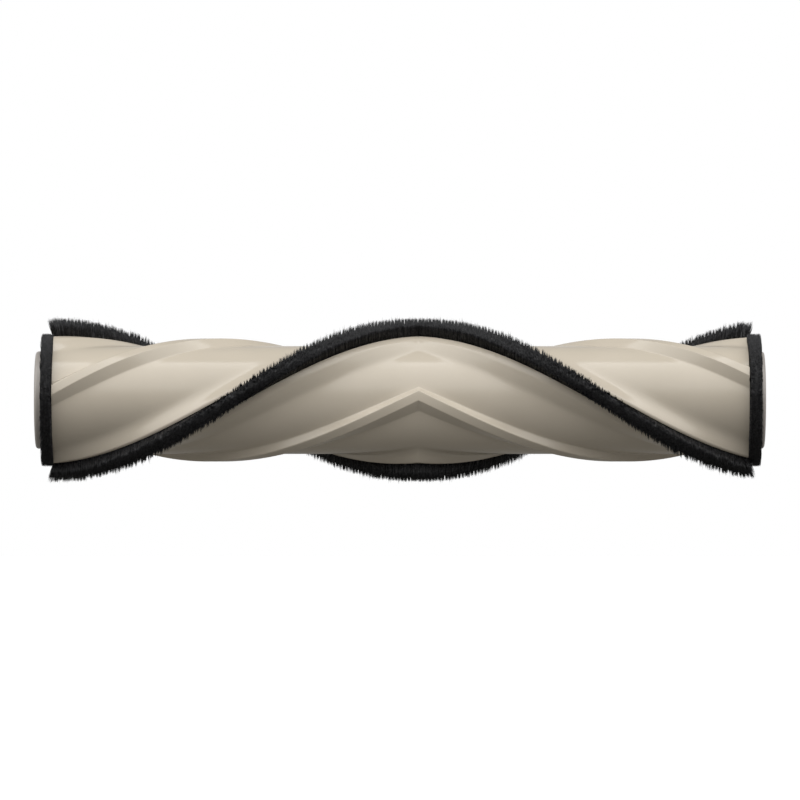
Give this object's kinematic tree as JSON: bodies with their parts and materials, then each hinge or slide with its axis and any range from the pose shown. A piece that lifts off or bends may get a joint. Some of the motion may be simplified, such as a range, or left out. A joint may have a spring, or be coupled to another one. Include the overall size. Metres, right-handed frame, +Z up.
{
  "type": "vacuum brush roll",
  "caption": "Brush roll for a robot vacuum: helical moulding with bristle strips in a V, bristle rings at the ends, a drive socket and a bearing cap.",
  "frame": {"origin": "on the roll's axis, midway between the two outer end faces", "axes": "+X along the roll's axis towards the drive end, +Z up, -Y towards the viewer of the picture"},
  "size_m": [0.178, 0.0406, 0.0406],
  "materials": {
    "body_moulding": "satin champagne plastic with a fine moulded surface",
    "end_moulding": "satin warm grey plastic",
    "bristle": "black nylon filament pile",
    "backing": "black moulded backing",
    "tube": "drawn tube",
    "steel": "ground bearing steel",
    "cage": "pressed brass"
  },
  "bodies": {
    "cap": {"idler_cap": "end_moulding", "bearing_outer_ring": "steel", "bearing_shield_outer": "steel", "bearing_shield_inner": "steel"},
    "ball_set": {"bearing_balls": "steel", "bearing_cage": "cage"},
    "roll": {"bearing_inner_ring": "steel", "stub_shaft": "steel", "retaining_clip": "steel", "helical_body": "body_moulding", "core_tube": "tube", "idler_hub": "end_moulding", "drive_hub": "end_moulding", "idler_ring_carrier": "backing", "idler_ring_pile": "bristle", "drive_ring_carrier": "backing", "drive_ring_pile": "bristle", "strip_a_idler_backing": "backing", "strip_a_idler_pile": "bristle", "strip_a_drive_backing": "backing", "strip_a_drive_pile": "bristle", "strip_b_idler_backing": "backing", "strip_b_idler_pile": "bristle", "strip_b_drive_backing": "backing", "strip_b_drive_pile": "bristle"}
  },
  "joints": [
    {"name": "roll_spin", "type": "hinge", "parent": "cap", "child": "roll", "pos_m": [-0.0778, 0, 0], "axis": [1, 0, 0], "continuous": true},
    {"name": "cage_spin", "type": "hinge", "parent": "cap", "child": "ball_set", "pos_m": [-0.0778, 0, 0], "axis": [1, 0, 0], "continuous": true}
  ],
  "couplings": [
    {"joint": "cage_spin", "follows": "roll_spin", "ratio": 0.3769}
  ]
}
